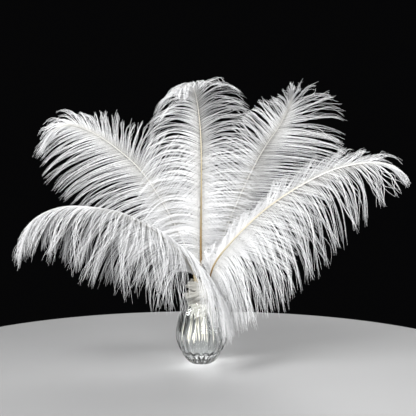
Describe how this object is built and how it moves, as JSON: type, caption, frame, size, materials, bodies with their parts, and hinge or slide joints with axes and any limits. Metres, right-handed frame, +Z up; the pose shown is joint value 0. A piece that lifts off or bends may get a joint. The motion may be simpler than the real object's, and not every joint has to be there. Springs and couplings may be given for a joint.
{
  "type": "ostrich feather bunch in a vase",
  "caption": "Bunch of white ostrich plumes with drooping barbs, quills wound with ribbon and standing in a small fluted egg-shaped glass vase.",
  "frame": {"origin": "middle of the vase's flat foot, on the surface that it stands on", "axes": "+Z up; +X to the viewer's right of the front view; -Y is the front"},
  "size_m": [0.7729, 0.4444, 0.5625],
  "materials": {
    "feather": "soft matte",
    "glass": "clear polished",
    "ribbon": "satin"
  },
  "bodies": {
    "root": {"feather_top": "feather", "feather_upper_left": "feather", "feather_upper_right": "feather", "feather_lower_left": "feather", "feather_lower_right": "feather", "glass_vase": "glass", "ribbon": "ribbon"}
  },
  "joints": []
}
